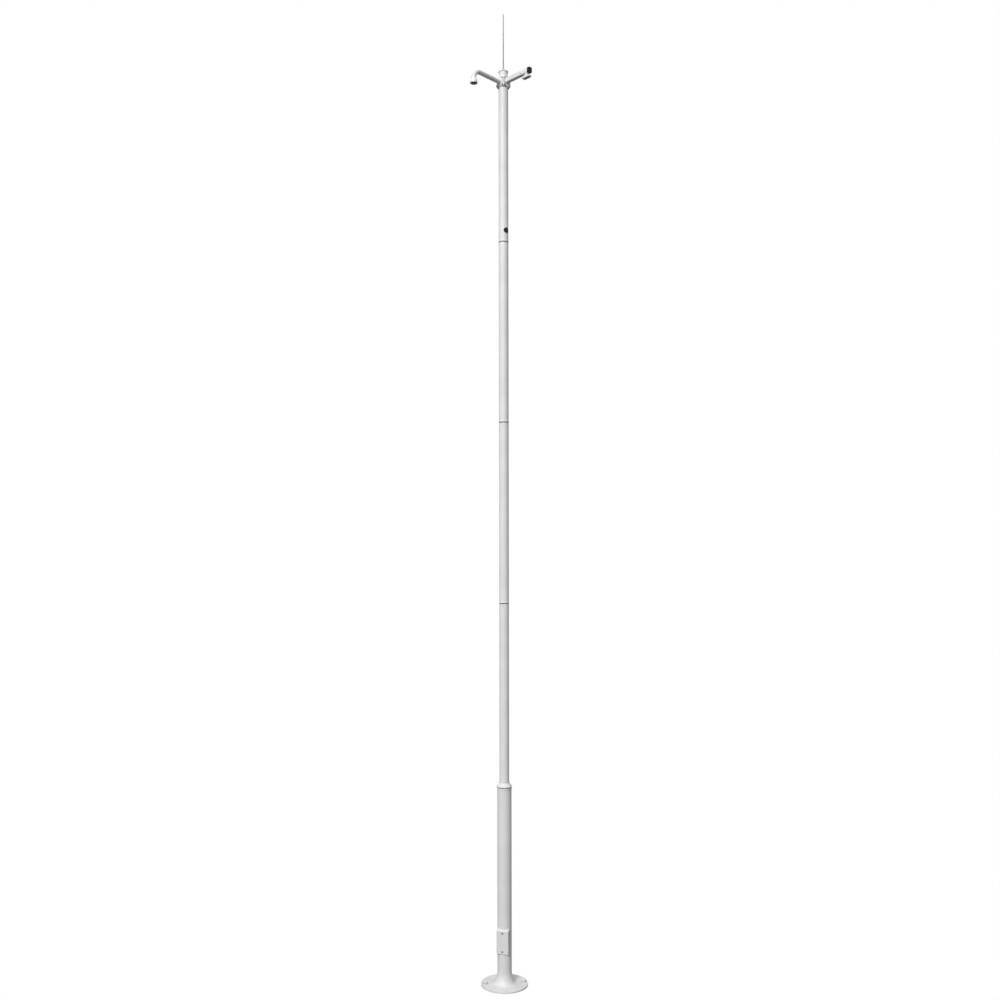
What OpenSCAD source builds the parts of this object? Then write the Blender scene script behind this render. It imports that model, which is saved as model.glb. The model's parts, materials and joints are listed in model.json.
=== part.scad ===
// Camera mast: a bolted cast foot, a wide lower tube with a hand-hole, four slim upper tubes on
// sleeves, and a square head that carries a gooseneck dome camera, a tilting camera with a lamp,
// and a lightning rod. Millimetres, +Z up. The origin is the centre of the foot's flat underside.
// Seen from the front, that is looking along +Y, the dome arm points left and the camera arm right.

/* [Foot] */
// Radius of the round flange
flange_r = 260; // [240:1:320]
// Thickness of the flange at its rim
flange_t = 18; // [12:1:30]
// Rounding of the flange's top edge
flange_edge_r = 4; // [1:0.5:6]
// Radius of the trumpet boss where it meets the flange
boss_foot_r = 140; // [120:1:160]
// Height of the boss above the ground
boss_top_z = 122; // [90:1:180]
// Wall of the boss around the pole at its top
boss_lip = 4; // [3:0.5:8]
// Diameter of the circle of the anchor holes
anchor_pcd = 430; // [400:1:470]
// Diameter of an anchor hole
anchor_d = 30; // [18:1:36]
// Number of anchor holes
anchor_count = 2; // [2:1:8]
// Turn of the first anchor hole from +X
anchor_turn = 7.6; // [0:0.1:45]

/* [Lower pole] */
// Outer diameter of the lower pole
lower_d = 159; // [140:1:180]
// Wall of the lower pole
lower_wall = 4.5; // [3:0.5:8]
// Height of the lower pole's top end
lower_top_z = 2176; // [1800:1:2600]

/* [Hand-hole] */
// Width of the hand-hole's frame
hatch_w = 137; // [120:1:145]
// Height of the hand-hole's frame
hatch_h = 266; // [200:1:360]
// Height of the frame's lower edge above the ground
hatch_z = 360; // [250:1:600]
// Direction that the hatch faces, counted from +X
hatch_turn = 254.3; // [200:0.1:340]
// How far the frame's front stands out from the pole's surface
hatch_rise = 8; // [5:0.5:20]
// Width of the frame's border round its window
hatch_border = 20; // [14:1:30]
// Slope of the frame's top edge
hatch_bevel = 9; // [3:0.5:14]
// Thickness of the cover
cover_t = 5; // [3:0.5:8]
// How far the cover stays inside the frame's outline
cover_inset = 3; // [1:0.5:8]
// Corner radius of the cover
cover_r = 10; // [4:0.5:20]
// Distance of a cover screw from the cover's end
cover_screw_in = 25; // [16:1:45]
// Diameter of a cover screw's countersink
cover_screw_d = 22; // [12:1:26]

/* [Reducer] */
// Outer radius of the reducer's flared skirt
skirt_r = 88; // [86:0.5:105]
// Thickness of the skirt's edge
skirt_t = 5; // [2:0.5:8]
// Height of the straight band under the skirt
reducer_band_h = 12; // [8:1:50]
// How far that band stays inside the lower pole's surface
reducer_band_in = 2; // [0:0.1:2.5]
// Height of the cone above the skirt
reducer_cone_h = 38; // [25:1:70]
// Height of the lip on top of the reducer
reducer_lip_h = 20; // [6:0.5:24]
// Wall of the reducer around the upper pole
reducer_wall = 2.5; // [2:0.5:8]
// Height of the groove under the reducer's lip
reducer_groove_h = 5; // [3:0.5:8]
// Depth of the groove under the reducer's lip
reducer_groove_in = 1.2; // [0.5:0.1:1.5]
// Length of the turned seat in the lower pole that takes the reducer's spigot
reducer_seat_h = 90; // [50:1:150]
// Depth of that seat in the lower pole's bore
reducer_seat_in = 0.6; // [0.4:0.1:1.5]
// Free space between the spigot's end and the seat's shoulder
spigot_end_gap = 2; // [1:0.5:6]
// Width of the clamping band at the top of the lower pole
clamp_band_h = 15; // [10:1:40]
// Thickness of the clamping band
clamp_band_t = 2.5; // [1.5:0.5:6]

/* [Upper pole] */
// Outer diameter of the upper pole
upper_d = 108; // [95:1:120]
// Wall of the upper pole
upper_wall = 4; // [3:0.5:6]
// Distance from the reducer's top end to the first joint
first_section = 1972; // [1500:1:2500]
// Distance from one joint to the next
section_pitch = 2020; // [1500:1:2500]
// Distance from the last joint to the pole's top end
last_section = 1738; // [1200:1:2200]
// Height of the lip that shows at a joint
joint_lip_h = 20; // [8:0.5:30]
// How far that lip stands out from the tube
joint_lip_out = 2; // [0.5:0.5:4]
// Height of the groove under the lip
joint_groove_h = 12; // [4:0.5:15]
// Depth of the groove
joint_groove_in = 3.5; // [1:0.5:3.5]
// Length of the hidden sleeve on each side of a joint
sleeve_reach = 95; // [60:1:180]
// Wall of the hidden sleeve
sleeve_wall = 4; // [3:0.5:8]

/* [Cable outlet] */
// Height of the outlet's centre above the last joint
outlet_above_joint = 120; // [70:1:800]
// Direction of the outlet, counted from +X
outlet_turn = 305; // [180:0.1:360]
// Outer diameter of the outlet's rim
outlet_rim_d = 72; // [60:1:84]
// Diameter of the hole that the grommet fills
outlet_d = 64; // [40:1:70]
// How far the rim stands out from the pole's surface
outlet_rise = 2; // [1:0.5:5]
// How far the grommet's face stays behind the rim's face
grommet_recess = 0.5; // [0.2:0.1:2]
// How far the grommet reaches inside the pole's wall
grommet_reach = 6; // [2:0.5:12]

/* [Head] */
// Side of the square head block
block_side = 106; // [100:1:120]
// Height of the head block
block_h = 105; // [101:1:140]
// Bevel on the block's upright edges
block_bevel = 4; // [1:0.5:10]
// How far the block's spigot goes into the pole
block_spigot = 80; // [40:1:140]
// Outer diameter of the cap tube on the block
cap_d = 96; // [80:1:100]
// Wall of the cap tube
cap_wall = 4; // [3:0.5:8]
// Height of the cap tube
cap_h = 71; // [40:1:120]
// Diameter of the cap's lid
lid_d = 108; // [102:1:130]
// Thickness of the lid at its edge
lid_t = 10; // [6:0.5:20]
// Rise of the lid's domed top
lid_crown = 4; // [1:0.5:10]
// Diameter of the rod's socket
rod_socket_d = 34; // [24:1:50]
// Height of the rod's socket
rod_socket_h = 22; // [14:1:40]
// Diameter of the lightning rod at its foot
rod_foot_d = 15; // [12:0.5:20]
// Diameter of the lightning rod under its point
rod_tip_d = 10; // [6:0.5:12]
// Length of the lightning rod above its socket
rod_length = 632; // [400:1:1200]
// Length of the rod's point
rod_point = 16; // [8:1:40]

/* [Arm flanges] */
// Width of an arm flange
plate_w = 102; // [90:1:104]
// Height of an arm flange
plate_h = 99; // [95:1:101]
// Thickness of an arm flange
plate_t = 8; // [5:0.5:12]
// Corner radius of an arm flange
plate_r = 8; // [3:0.5:14]
// Distance between bolt holes side by side
plate_bolt_w = 82; // [60:1:84]
// Distance between bolt holes one above the other
plate_bolt_h = 77; // [60:1:80]
// Diameter of a bolt hole of an arm flange
plate_bolt_d = 9; // [6:0.5:11]

/* [Dome camera] */
// Height of the gooseneck's axis above the block's underside
dome_arm_rise = 50; // [36:0.5:70]
// Direction of the dome arm, counted from +X
dome_turn = 225; // [180:1:250]
// Distance from the mast's axis to the dome's axis
dome_reach = 457; // [350:1:700]
// Outer diameter of the gooseneck pipe
pipe_d = 50; // [42:0.5:54]
// Wall of the gooseneck pipe
pipe_wall = 3; // [2:0.5:5]
// Radius of the gooseneck's bend, at the pipe's axis
bend_r = 91; // [50:1:92]
// Height of the pipe's axis above the bell's rim
bell_drop = 150; // [149:1:260]
// Height of the bell
bell_h = 58; // [52:1:59]
// Height of the bell's straight rim
bell_rim_h = 14; // [8:0.5:24]
// Outer diameter of the bell's rim
bell_d = 82; // [80:1:110]
// Wall of the bell
bell_wall = 3.5; // [2.5:0.5:5]
// Depth of the socket in the bell's neck that takes the pipe
neck_socket = 12; // [8:1:12]
// Diameter of the dome window that shows
dome_window_d = 64; // [56:1:66]
// Height of the trim ring's ledge, which the window rests on
dome_ledge_z = 13; // [10:0.5:16]
// How far the window bulges below that ledge
dome_bulge = 10; // [6:0.5:12]
// Thickness of the window's edge
dome_edge_t = 2.5; // [1.5:0.5:4]

/* [Camera arm] */
// Height of the arm's axis above the block's underside
camera_arm_rise = 65; // [36:0.5:70]
// Direction of the camera arm, counted from +X
camera_turn = 315; // [290:1:350]
// Width of the arm's box tube
arm_w = 48; // [40:0.5:54]
// Height of the arm's box tube
arm_h = 48; // [40:0.5:56]
// Wall of the arm's box tube
arm_wall = 2.5; // [2:0.5:4]
// Distance from the mast's axis to the tilt bolt
tilt_reach = 286; // [240:1:420]
// Diameter of the tilt bolt
tilt_bolt_d = 10; // [6:0.5:14]
// Diameter of the tilt bolt's head
tilt_head_d = 17; // [14:0.5:22]
// Thickness of the tilt bolt's head
tilt_head_t = 3.5; // [2.5:0.5:8]
// Thickness of the plate that closes the arm's end
arm_end_t = 6; // [3:0.5:10]

/* [Camera] */
// Free space between the tilting pieces and the arm
camera_gap = 5; // [5:0.5:10]
// Length of the camera's back part
camera_back_l = 38; // [32:1:80]
// Length of the camera's front frame
camera_front_l = 34; // [32:1:60]
// How far the front frame stands out round the back part
camera_front_out = 1; // [0.5:0.5:3]
// Corner radius of the camera's section
camera_r = 5; // [2:0.5:10]
// Length of the black hood
hood_l = 30; // [20:1:50]
// How far the hood stands out above the back part
hood_top_out = 1; // [0.5:0.5:5]
// How far the hood reaches down below the back part
hood_low_out = 7; // [1:0.5:12]
// Thickness of the hood's wall
hood_wall = 4; // [2.5:0.5:6]
// How far the front glass lies behind the hood's edge
glass_recess = 5; // [2:0.5:8]
// Thickness of the front glass
glass_t = 4; // [2:0.5:6]

/* [Lamp] */
// Length of the lamp
lamp_l = 102; // [80:1:130]
// Width of the lamp
lamp_w = 50; // [40:1:70]
// Height of the lamp
lamp_h = 18; // [12:0.5:40]
// Free space between the camera and the lamp
lamp_gap = 32; // [20:0.5:40]
// How far the lamp's back lies behind the camera's back
lamp_back = 5; // [0:0.5:12]
// Length of the lamp's bracket
bracket_l = 32; // [20:1:32]
// Width of the lamp's bracket
bracket_w = 40; // [14:1:46]
// Thickness of the bracket's cheeks
bracket_t = 5; // [3:0.5:8]
// Width of the lamp's rim round its window
lamp_rim = 4; // [2.5:0.5:8]
// Depth of the lamp's window in its underside
lamp_window_t = 3; // [2:0.5:6]

/* [Hidden] */
$fn = 64;
// Clearance of a fixed fit
fit = 0.3;
// Clearance of the tilt bolt in the knuckle
bolt_fit = 0.1;
// Number of steps along a curved profile
curve_steps = 14;
// Extra length of a cut past a face
over = 1;
// Bevel on small turned edges
edge = 1;
section_count = 4;

// Foot and lower pole
lower_r = lower_d / 2;
lower_bore_r = lower_r - lower_wall;
boss_top_r = lower_r + fit + boss_lip;
flange_seat_z = flange_t;

// Hand-hole
hatch_front = lower_r + hatch_rise;
hatch_back = sqrt(lower_r * lower_r - hatch_w * hatch_w / 4) - lower_wall;
window_w = hatch_w - 2 * hatch_border;
window_h = hatch_h - 2 * hatch_border - hatch_bevel;
cover_w = hatch_w - 2 * cover_inset;
cover_h = hatch_h - hatch_bevel - 2 * cover_inset;

// Reducer: from its seat on the lower pole's end upwards
upper_r = upper_d / 2;
upper_bore_r = upper_r - upper_wall;
band_top_z = lower_top_z + reducer_band_h;
skirt_top_z = band_top_z + skirt_t;
cone_top_z = skirt_top_z + reducer_cone_h;
reducer_top_z = cone_top_z + reducer_groove_h + reducer_lip_h;
upper_seat_z = lower_top_z + reducer_band_h / 2;
reducer_lip_r = upper_r + fit + reducer_wall;
reducer_seat_r = lower_bore_r + reducer_seat_in;
spigot_foot_z = lower_top_z - reducer_seat_h + spigot_end_gap;

// Upper pole
sleeve_r = upper_bore_r - fit;
function joint_z(i) = reducer_top_z + first_section + (i - 1) * section_pitch;
pole_top_z = joint_z(section_count - 1) + last_section;
function section_foot(i) = i == 1 ? upper_seat_z : joint_z(i - 1) + joint_lip_h;
function section_end(i) = i == section_count ? pole_top_z : joint_z(i) - joint_groove_h;

// Head
block_top_z = pole_top_z + block_h;
plate_z = pole_top_z + block_h / 2;
dome_arm_z = pole_top_z + dome_arm_rise;
camera_arm_z = pole_top_z + camera_arm_rise;
plate_face = block_side / 2 + plate_t;
lid_z = block_top_z + cap_h;
rod_socket_z = lid_z + lid_t + lid_crown;

// Dome camera, with heights counted from the bell's rim
pipe_r = pipe_d / 2;
bell_r = bell_d / 2;
neck_r = pipe_r + fit + bell_wall;
neck_floor_z = bell_h - neck_socket;
bell_inner_r = bell_r - bell_wall;
bell_roof_z = neck_floor_z - bell_wall;
pipe_bore_r = pipe_r - pipe_wall;
dome_ring_r = bell_inner_r - fit;
dome_seat_r = (dome_window_d / 2 + dome_ring_r) / 2;
dome_ring_top_z = dome_ledge_z + dome_edge_t + 2;

// Tilting camera, with lengths counted from the tilt bolt
arm_cable_r = arm_w / 2 - 2 * arm_wall;
ear_r = arm_h / 2;
knuckle_w = arm_w - 2 * arm_wall - 2 * fit;
knuckle_r = ear_r - arm_wall - fit;
camera_back_x = ear_r + camera_gap;
camera_front_x = camera_back_x + camera_back_l;
hood_x = camera_front_x + camera_front_l;
hood_end_x = hood_x + hood_l;
hood_w = arm_w + 2 * camera_front_out;
hood_h = arm_h + hood_top_out + hood_low_out;
hood_mid_z = (hood_top_out - hood_low_out) / 2;
glass_x = hood_end_x - glass_recess - glass_t;
lamp_top = -arm_h / 2 - lamp_gap;
lamp_x = camera_back_x - lamp_back;
bracket_h = lamp_gap - camera_front_out;

// ---- Shapes that repeat ----

// Upright round tube from one height to another
module tube(r, wall, from_z, to_z) {
    translate([0, 0, from_z])
        difference() {
            cylinder(r = r, h = to_z - from_z);
            translate([0, 0, -over]) cylinder(r = r - wall, h = to_z - from_z + 2 * over);
        }
}

// Flat rectangle with true round corners, centred
module round_rect(w, h, r) {
    square([w - 2 * r, h], center = true);
    square([w, h - 2 * r], center = true);
    for (x = [-1, 1], y = [-1, 1])
        translate([x * (w / 2 - r), y * (h / 2 - r)]) circle(r = r);
}

// Bar along +X with the given cross-section of width y and height z
module bar(from_x, to_x, w, h, r) {
    translate([from_x, 0, 0])
        rotate([90, 0, 90]) linear_extrude(to_x - from_x) round_rect(w, h, r);
}

// Frame whose +X points outward in the given direction and whose Z is counted from z
module facing(turn, z) {
    translate([0, 0, z]) rotate([0, 0, turn]) children();
}

// Frame of the tilting camera: origin on the tilt bolt
module on_tilt() {
    facing(camera_turn, camera_arm_z) translate([tilt_reach, 0, 0]) children();
}

// Cylinder lying across the arm, centred on it
module cross_pin(r, length) {
    rotate([90, 0, 0]) cylinder(r = r, h = length, center = true);
}

// Points of a hollow curve that leaves flat from [r0, z0] and ends upright at [r1, z1]
function trumpet(r0, z0, r1, z1) = [
    for (i = [0 : curve_steps]) let (a = 90 * i / curve_steps)
        [r1 + (r0 - r1) * (1 - sin(a)), z0 + (z1 - z0) * (1 - cos(a))]
];

// Radius at a height on a bell curve that is upright at both its ends, [r0, z0] and [r1, z1]
function bell_radius(r0, z0, r1, z1, z) = r0 + (r1 - r0) * (1 - cos(180 * (z - z0) / (z1 - z0))) / 2;

// Points of that bell curve
function bell_curve(r0, z0, r1, z1) = [
    for (i = [0 : curve_steps]) let (z = z0 + (z1 - z0) * i / curve_steps)
        [bell_radius(r0, z0, r1, z1, z), z]
];

// The points of a list in the opposite order
function reversed(points) = [for (i = [len(points) - 1 : -1 : 0]) points[i]];

// ---- Foot and lower pole ----

module base_casting() {
    color("gainsboro")
        difference() {
            rotate_extrude()
                polygon(concat(
                    [[lower_r + fit, 0], [flange_r, 0], [flange_r, flange_t - flange_edge_r]],
                    [for (a = [30 : 30 : 90])
                        [flange_r - flange_edge_r + flange_edge_r * cos(a),
                         flange_t - flange_edge_r + flange_edge_r * sin(a)]],
                    trumpet(boss_foot_r, flange_seat_z, boss_top_r, boss_top_z),
                    [[lower_r + fit, boss_top_z]]));
            for (i = [0 : anchor_count - 1])
                rotate([0, 0, anchor_turn + i * 360 / anchor_count])
                    translate([anchor_pcd / 2, 0, -over])
                        cylinder(d = anchor_d, h = flange_t + 2 * over);
        }
}

module lower_pole() {
    color("gainsboro")
        difference() {
            tube(lower_r, lower_wall, 0, lower_top_z);
            translate([0, 0, lower_top_z - reducer_seat_h])
                cylinder(r = reducer_seat_r, h = reducer_seat_h + over);
            facing(hatch_turn, hatch_z + hatch_border)
                translate([lower_r / 2, -window_w / 2, 0])
                    cube([lower_r, window_w, window_h]);
        }
}

// ---- Hand-hole ----

module handhole_frame() {
    color("gainsboro")
        facing(hatch_turn, hatch_z)
            difference() {
                rotate([90, 0, 0])
                    linear_extrude(hatch_w, center = true)
                        polygon([
                            [hatch_back, 0], [hatch_front, 0],
                            [hatch_front, hatch_h - hatch_bevel],
                            [hatch_front - hatch_bevel, hatch_h], [hatch_back, hatch_h]]);
                translate([0, 0, -over]) cylinder(r = lower_r + fit, h = hatch_h + 2 * over);
                translate([lower_r / 2, -window_w / 2, hatch_border])
                    cube([lower_r, window_w, window_h]);
            }
}

module handhole_cover() {
    color("gainsboro")
        facing(hatch_turn, hatch_z + cover_inset + cover_h / 2)
            difference() {
                bar(hatch_front, hatch_front + cover_t, cover_w, cover_h, cover_r);
                for (side = [-1, 1])
                    translate([hatch_front + cover_t, 0, side * (cover_h / 2 - cover_screw_in)])
                        rotate([0, 90, 0])
                            cylinder(d = cover_screw_d, h = cover_t, center = true);
            }
}

// ---- Reducer between the two pole sizes ----

module clamp_band() {
    color("gainsboro")
        tube(lower_r + fit + clamp_band_t, clamp_band_t, lower_top_z - clamp_band_h, lower_top_z - fit);
}

module reducer_collar() {
    spigot_r = reducer_seat_r - fit;
    band_r = lower_r - reducer_band_in;
    color("whitesmoke")
        rotate_extrude()
            polygon([
                [upper_bore_r, spigot_foot_z], [spigot_r, spigot_foot_z], [spigot_r, lower_top_z],
                [band_r, lower_top_z], [band_r, band_top_z], [skirt_r - edge, band_top_z],
                [skirt_r, band_top_z + edge], [skirt_r, skirt_top_z],
                [reducer_lip_r, cone_top_z], [reducer_lip_r - reducer_groove_in, cone_top_z],
                [reducer_lip_r - reducer_groove_in, cone_top_z + reducer_groove_h],
                [reducer_lip_r, cone_top_z + reducer_groove_h],
                [reducer_lip_r, reducer_top_z - edge], [reducer_lip_r - edge, reducer_top_z],
                [upper_r + fit, reducer_top_z], [upper_r + fit, upper_seat_z],
                [upper_bore_r, upper_seat_z]]);
}

// ---- Upper pole ----

// Frame of the cable outlet, with +X along the hole
module on_outlet() {
    facing(outlet_turn, joint_z(section_count - 1) + outlet_above_joint) children();
}

// Cut of the cable outlet through everything on one side of the pole
module outlet_hole() {
    on_outlet() rotate([0, 90, 0]) cylinder(d = outlet_d, h = upper_d);
}

module pole_section(i) {
    color("whitesmoke")
        difference() {
            tube(upper_r, upper_wall, section_foot(i), section_end(i));
            if (i == section_count) outlet_hole();
        }
}

module joint_sleeve(i) {
    lip_r = upper_r + joint_lip_out;
    groove_r = upper_r - joint_groove_in;
    color("whitesmoke")
        difference() {
            translate([0, 0, joint_z(i)])
                rotate_extrude()
                    polygon([
                        [sleeve_r - sleeve_wall, -sleeve_reach], [sleeve_r - edge, -sleeve_reach],
                        [sleeve_r, edge - sleeve_reach], [sleeve_r, -joint_groove_h],
                        [groove_r, -joint_groove_h], [groove_r, 0], [lip_r, 0],
                        [lip_r, joint_lip_h / 2], [upper_r, joint_lip_h],
                        [sleeve_r, joint_lip_h], [sleeve_r, sleeve_reach - edge],
                        [sleeve_r - edge, sleeve_reach], [sleeve_r - sleeve_wall, sleeve_reach]]);
            if (i == section_count - 1) outlet_hole();
        }
}

// Everything round the pole's axis at the outlet's height up to a radius
module outlet_barrel(r) {
    on_outlet() cylinder(r = r, h = outlet_rim_d + 2 * over, center = true);
}

// Rim that follows the pole's curve round the outlet
module outlet_rim() {
    color("whitesmoke")
        difference() {
            intersection() {
                on_outlet() rotate([0, 90, 0]) cylinder(d = outlet_rim_d, h = upper_d);
                outlet_barrel(upper_r + outlet_rise);
            }
            outlet_hole();
            outlet_barrel(upper_r + fit);
        }
}

module outlet_grommet() {
    grommet_back = upper_bore_r - grommet_reach;
    color("black")
        intersection() {
            on_outlet()
                translate([grommet_back, 0, 0])
                    rotate([0, 90, 0]) cylinder(d = outlet_d - 2 * fit, h = upper_d);
            outlet_barrel(upper_r + outlet_rise - grommet_recess);
        }
}

// ---- Head, cap and lightning rod ----

module head_block() {
    color("whitesmoke") {
        facing(dome_turn, pole_top_z)
            linear_extrude(block_h)
                difference() {
                    square(block_side, center = true);
                    for (a = [45 : 90 : 315])
                        rotate(a)
                            translate([block_side * sqrt(0.5) - block_bevel * sqrt(0.5), -block_bevel])
                                square([block_bevel, 2 * block_bevel]);
                }
        translate([0, 0, pole_top_z - block_spigot])
            cylinder(r = sleeve_r, h = block_spigot);
    }
}

module cap_tube() {
    color("whitesmoke") tube(cap_d / 2, cap_wall, block_top_z, lid_z);
}

module cap_lid() {
    plug_r = cap_d / 2 - cap_wall - fit;
    color("whitesmoke")
        rotate_extrude()
            polygon(concat(
                [[0, lid_z - lid_t], [plug_r, lid_z - lid_t], [plug_r, lid_z], [lid_d / 2, lid_z]],
                [for (i = [0 : curve_steps]) let (t = i / curve_steps)
                    [(lid_d + (rod_socket_d - lid_d) * t) / 2, lid_z + lid_t + lid_crown * sin(90 * t)]],
                [[0, rod_socket_z]]));
}

module rod_socket() {
    color("silver")
        rotate_extrude()
            polygon([
                [rod_foot_d / 2 + fit, rod_socket_z], [rod_socket_d / 2, rod_socket_z],
                [rod_socket_d / 2, rod_socket_z + rod_socket_h / 2],
                [rod_foot_d / 2 + 3, rod_socket_z + rod_socket_h],
                [rod_foot_d / 2 + fit, rod_socket_z + rod_socket_h]]);
}

module lightning_rod() {
    shaft = rod_socket_h + rod_length - rod_point;
    color("silver")
        translate([0, 0, rod_socket_z]) {
            cylinder(d1 = rod_foot_d, d2 = rod_tip_d, h = shaft);
            translate([0, 0, shaft]) cylinder(d1 = rod_tip_d, d2 = rod_tip_d / 3, h = rod_point);
        }
}

// ---- Arm flanges ----

// Plate on a face of the head block, with four bolt holes and a cable hole on the arm's axis
module arm_flange(turn, cable_r, axis_z) {
    color("whitesmoke")
        facing(turn, plate_z)
            translate([block_side / 2, 0, 0])
                rotate([90, 0, 90])
                    linear_extrude(plate_t)
                        difference() {
                            round_rect(plate_w, plate_h, plate_r);
                            for (x = [-1, 1], y = [-1, 1])
                                translate([x * plate_bolt_w / 2, y * plate_bolt_h / 2])
                                    circle(d = plate_bolt_d);
                            translate([0, axis_z - plate_z]) circle(r = cable_r);
                        }
}

// ---- Dome camera on its gooseneck ----

module gooseneck_arm() {
    run = dome_reach - bend_r - plate_face;
    drop = bell_drop - bend_r - neck_floor_z;
    module section() {
        difference() {
            circle(r = pipe_r);
            circle(r = pipe_bore_r);
        }
    }
    color("whitesmoke")
        facing(dome_turn, dome_arm_z) {
            translate([plate_face, 0, 0]) rotate([0, 90, 0]) linear_extrude(run) section();
            translate([dome_reach - bend_r, 0, -bend_r])
                rotate([90, 0, 0]) rotate_extrude(angle = 90) translate([bend_r, 0]) section();
            translate([dome_reach, 0, -bend_r - drop]) linear_extrude(drop) section();
        }
}

// Frame of the dome: origin on its axis, at the bell's rim
module on_dome() {
    facing(dome_turn, dome_arm_z - bell_drop) translate([dome_reach, 0, 0]) children();
}

module dome_bell() {
    color("whitesmoke")
        on_dome()
            rotate_extrude()
                polygon(concat(
                    [[bell_r, 0]],
                    bell_curve(bell_r, bell_rim_h, neck_r, bell_h),
                    [[pipe_r + fit, bell_h], [pipe_r + fit, neck_floor_z],
                     [pipe_bore_r, neck_floor_z], [pipe_bore_r, bell_roof_z]],
                    reversed(bell_curve(bell_inner_r, bell_rim_h, pipe_bore_r, bell_roof_z)),
                    [[bell_inner_r, 0]]));
}

module dome_ring() {
    window_r = dome_window_d / 2;
    bell_at_top_r = bell_radius(bell_inner_r, bell_rim_h, pipe_bore_r, bell_roof_z, dome_ring_top_z);
    color("whitesmoke")
        on_dome()
            rotate_extrude()
                polygon([
                    [window_r + edge, 0], [dome_ring_r, 0], [dome_ring_r, bell_rim_h],
                    [bell_at_top_r - fit, dome_ring_top_z],
                    [dome_seat_r + fit, dome_ring_top_z], [dome_seat_r + fit, dome_ledge_z],
                    [window_r, dome_ledge_z], [window_r, edge]]);
}

module dome_window() {
    cap_r = dome_window_d / 2 - fit;
    sphere_r = (cap_r * cap_r + dome_bulge * dome_bulge) / (2 * dome_bulge);
    cap_angle = asin(cap_r / sphere_r);
    color("black")
        on_dome()
            rotate_extrude()
                polygon(concat(
                    [for (i = [0 : curve_steps]) let (a = cap_angle * i / curve_steps)
                        [sphere_r * sin(a), dome_ledge_z - dome_bulge + sphere_r * (1 - cos(a))]],
                    [[dome_seat_r, dome_ledge_z], [dome_seat_r, dome_ledge_z + dome_edge_t],
                     [0, dome_ledge_z + dome_edge_t]]));
}

// ---- Camera arm ----

// Box tube whose side walls run on as round ears for the tilt bolt
module camera_arm() {
    mouth = tilt_reach - ear_r;
    color("whitesmoke")
        facing(camera_turn, camera_arm_z)
            difference() {
                union() {
                    bar(plate_face, mouth, arm_w, arm_h, arm_wall);
                    translate([mouth, -arm_w / 2, -arm_h / 2]) cube([ear_r, arm_w, arm_h]);
                    translate([tilt_reach, 0, 0]) cross_pin(ear_r, arm_w);
                }
                translate([plate_face - over, arm_wall - arm_w / 2, arm_wall - arm_h / 2])
                    cube([mouth - plate_face + over, arm_w - 2 * arm_wall, arm_h - 2 * arm_wall]);
                translate([mouth - over, arm_wall - arm_w / 2, -arm_h])
                    cube([arm_h + 2 * ear_r, arm_w - 2 * arm_wall, 2 * arm_h]);
                translate([tilt_reach, 0, 0]) cross_pin(tilt_bolt_d / 2 + fit, arm_w + 2 * over);
            }
}

module arm_end_plate() {
    plate_x = tilt_reach - knuckle_r - camera_gap - arm_end_t;
    color("whitesmoke")
        facing(camera_turn, camera_arm_z)
            bar(plate_x, plate_x + arm_end_t, arm_w - 2 * arm_wall - 2 * fit,
                arm_h - 2 * arm_wall - 2 * fit, edge);
}

module tilt_bolt() {
    color("silver")
        on_tilt() {
            cross_pin(tilt_bolt_d / 2, arm_w + 2 * tilt_head_t);
            for (side = [-1, 1])
                translate([0, side * (arm_w + tilt_head_t) / 2, 0])
                    cross_pin(tilt_head_d / 2, tilt_head_t);
        }
}

// ---- Tilting camera ----

module camera_knuckle() {
    color("whitesmoke")
        on_tilt()
            difference() {
                union() {
                    cross_pin(knuckle_r, knuckle_w);
                    translate([0, -knuckle_w / 2, -knuckle_r])
                        cube([camera_back_x, knuckle_w, 2 * knuckle_r]);
                }
                cross_pin(tilt_bolt_d / 2 + bolt_fit, arm_w);
            }
}

module camera_body() {
    color("whitesmoke")
        on_tilt() bar(camera_back_x, camera_front_x, arm_w, arm_h, camera_r);
}

module camera_front_frame() {
    color("white")
        on_tilt()
            bar(camera_front_x, hood_x, arm_w + 2 * camera_front_out, arm_h + 2 * camera_front_out,
                camera_r);
}

module camera_hood() {
    color("black")
        on_tilt() translate([0, 0, hood_mid_z])
            difference() {
                bar(hood_x, hood_end_x, hood_w, hood_h, camera_r);
                bar(glass_x, hood_end_x + over, hood_w - 2 * hood_wall, hood_h - 2 * hood_wall,
                    camera_r - hood_wall / 2);
            }
}

module camera_glass() {
    rim = hood_wall + fit;
    color("black")
        on_tilt() translate([0, 0, hood_mid_z])
            bar(glass_x, glass_x + glass_t, hood_w - 2 * rim, hood_h - 2 * rim,
                camera_r - hood_wall / 2);
}

// ---- Lamp under the camera ----

module lamp_bracket() {
    color("whitesmoke")
        on_tilt()
            translate([camera_front_x, 0, lamp_top])
                difference() {
                    translate([0, -bracket_w / 2, 0]) cube([bracket_l, bracket_w, bracket_h]);
                    translate([-over, bracket_t - bracket_w / 2, bracket_t])
                        cube([bracket_l + 2 * over, bracket_w - 2 * bracket_t, bracket_h - 2 * bracket_t]);
                }
}

module lamp_body() {
    color("whitesmoke")
        on_tilt()
            translate([lamp_x + lamp_l / 2, 0, lamp_top - lamp_h])
                difference() {
                    linear_extrude(lamp_h) round_rect(lamp_l, lamp_w, camera_r);
                    translate([0, 0, -over])
                        linear_extrude(lamp_window_t + over)
                            round_rect(lamp_l - 2 * lamp_rim, lamp_w - 2 * lamp_rim, camera_r / 2);
                }
}

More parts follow.
